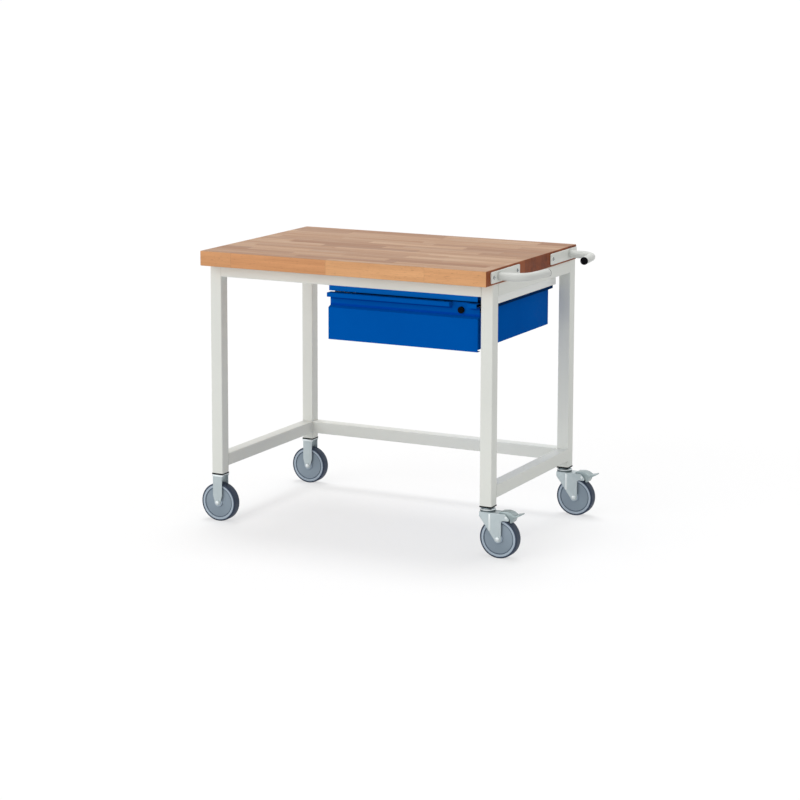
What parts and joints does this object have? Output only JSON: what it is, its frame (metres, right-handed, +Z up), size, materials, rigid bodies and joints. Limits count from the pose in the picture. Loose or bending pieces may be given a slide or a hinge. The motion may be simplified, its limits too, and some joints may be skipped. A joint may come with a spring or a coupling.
{
  "type": "mobile workbench",
  "caption": "Wheeled workbench: thick wooden top on a square tube frame with a hung lockable drawer, push handles at one end, fixed and braked swivel casters.",
  "frame": {"origin": "on the floor, under the middle of the whole bench's box", "axes": "+X along the bench towards the push handles, +Y from the drawer's front to the back, +Z up"},
  "size_m": [1.1584, 0.7064, 0.893],
  "materials": {
    "beech_top": "oiled beech staves",
    "frame_paint": "light grey powder coat",
    "handle_paint": "light grey powder coat",
    "drawer_paint": "blue powder coat",
    "zinc": "bright zinc plating",
    "black_plastic": "moulded black plastic",
    "nylon": "plain nylon",
    "hub_plastic": "moulded grey plastic",
    "tyre_rubber": "dark slate rubber tread"
  },
  "bodies": {
    "frame": {"worktop": "beech_top", "leg_front_left": "frame_paint", "leg_front_right": "frame_paint", "leg_back_left": "frame_paint", "leg_back_right": "frame_paint", "top_rail_front": "frame_paint", "top_rail_back": "frame_paint", "top_rail_left": "frame_paint", "top_rail_right": "frame_paint", "lower_rail_left": "frame_paint", "lower_rail_right": "frame_paint", "lower_rail_back": "frame_paint", "top_tabs": "frame_paint", "drawer_hanger_left": "frame_paint", "drawer_hanger_right": "frame_paint", "leg_plugs": "black_plastic", "handle_caps": "black_plastic", "top_screws": "zinc", "handle_screws": "zinc", "fixed_axles": "zinc", "caster_bolts": "zinc", "fixed_fork_front": "zinc", "fixed_fork_back": "zinc", "swivel_head_front": "zinc", "swivel_head_back": "zinc", "handle_plate_front": "handle_paint", "handle_plate_rear": "handle_paint", "handle_tube_front": "handle_paint", "handle_tube_rear": "handle_paint", "drawer_runner_left": "drawer_paint", "drawer_runner_right": "drawer_paint", "drawer_strip": "drawer_paint"},
    "drawer": {"drawer_front": "drawer_paint", "drawer_tray": "drawer_paint", "drawer_glides": "nylon", "lock_barrel": "black_plastic", "lock_nut": "zinc"},
    "lock": {"lock_plug": "black_plastic", "lock_cam": "zinc"},
    "swivel_front": {"swivel_fork_front": "zinc", "swivel_axle_front": "zinc", "swivel_balls_front": "zinc"},
    "swivel_back": {"swivel_fork_back": "zinc", "swivel_axle_back": "zinc", "swivel_balls_back": "zinc"},
    "pedal_front": {"brake_pedal_front": "zinc"},
    "pedal_back": {"brake_pedal_back": "zinc"},
    "wheel_front_left": {"wheel_hub_front_left": "hub_plastic", "tyre_front_left": "tyre_rubber"},
    "wheel_front_right": {"wheel_hub_front_right": "hub_plastic", "tyre_front_right": "tyre_rubber"},
    "wheel_back_left": {"wheel_hub_back_left": "hub_plastic", "tyre_back_left": "tyre_rubber"},
    "wheel_back_right": {"wheel_hub_back_right": "hub_plastic", "tyre_back_right": "tyre_rubber"}
  },
  "joints": [
    {"name": "drawer_slide", "type": "slide", "parent": "frame", "child": "drawer", "axis": [0, -1, 0], "range_m": [0, 0.4]},
    {"name": "lock_turn", "type": "hinge", "parent": "drawer", "child": "lock", "pos_m": [0.34631, -0.28325, 0.7592], "axis": [0, 1, 0], "range_deg": [0, 90]},
    {"name": "wheel_front_left_spin", "type": "hinge", "parent": "frame", "child": "wheel_front_left", "pos_m": [-0.51669, -0.27725, 0.0625], "axis": [0, 1, 0], "continuous": true},
    {"name": "swivel_front_turn", "type": "hinge", "parent": "frame", "child": "swivel_front", "pos_m": [0.43731, -0.27725, 0.142], "axis": [0, 0, 1], "continuous": true},
    {"name": "wheel_front_right_spin", "type": "hinge", "parent": "swivel_front", "child": "wheel_front_right", "pos_m": [0.47931, -0.27725, 0.0625], "axis": [0, 1, 0], "continuous": true},
    {"name": "pedal_front_press", "type": "hinge", "parent": "swivel_front", "child": "pedal_front", "pos_m": [0.50731, -0.27725, 0.132], "axis": [0, 1, 0], "range_deg": [0, 10]},
    {"name": "wheel_back_left_spin", "type": "hinge", "parent": "frame", "child": "wheel_back_left", "pos_m": [-0.51669, 0.32675, 0.0625], "axis": [0, 1, 0], "continuous": true},
    {"name": "swivel_back_turn", "type": "hinge", "parent": "frame", "child": "swivel_back", "pos_m": [0.43731, 0.32675, 0.142], "axis": [0, 0, 1], "continuous": true},
    {"name": "wheel_back_right_spin", "type": "hinge", "parent": "swivel_back", "child": "wheel_back_right", "pos_m": [0.47931, 0.32675, 0.0625], "axis": [0, 1, 0], "continuous": true},
    {"name": "pedal_back_press", "type": "hinge", "parent": "swivel_back", "child": "pedal_back", "pos_m": [0.50731, 0.32675, 0.132], "axis": [0, 1, 0], "range_deg": [0, 10]}
  ]
}
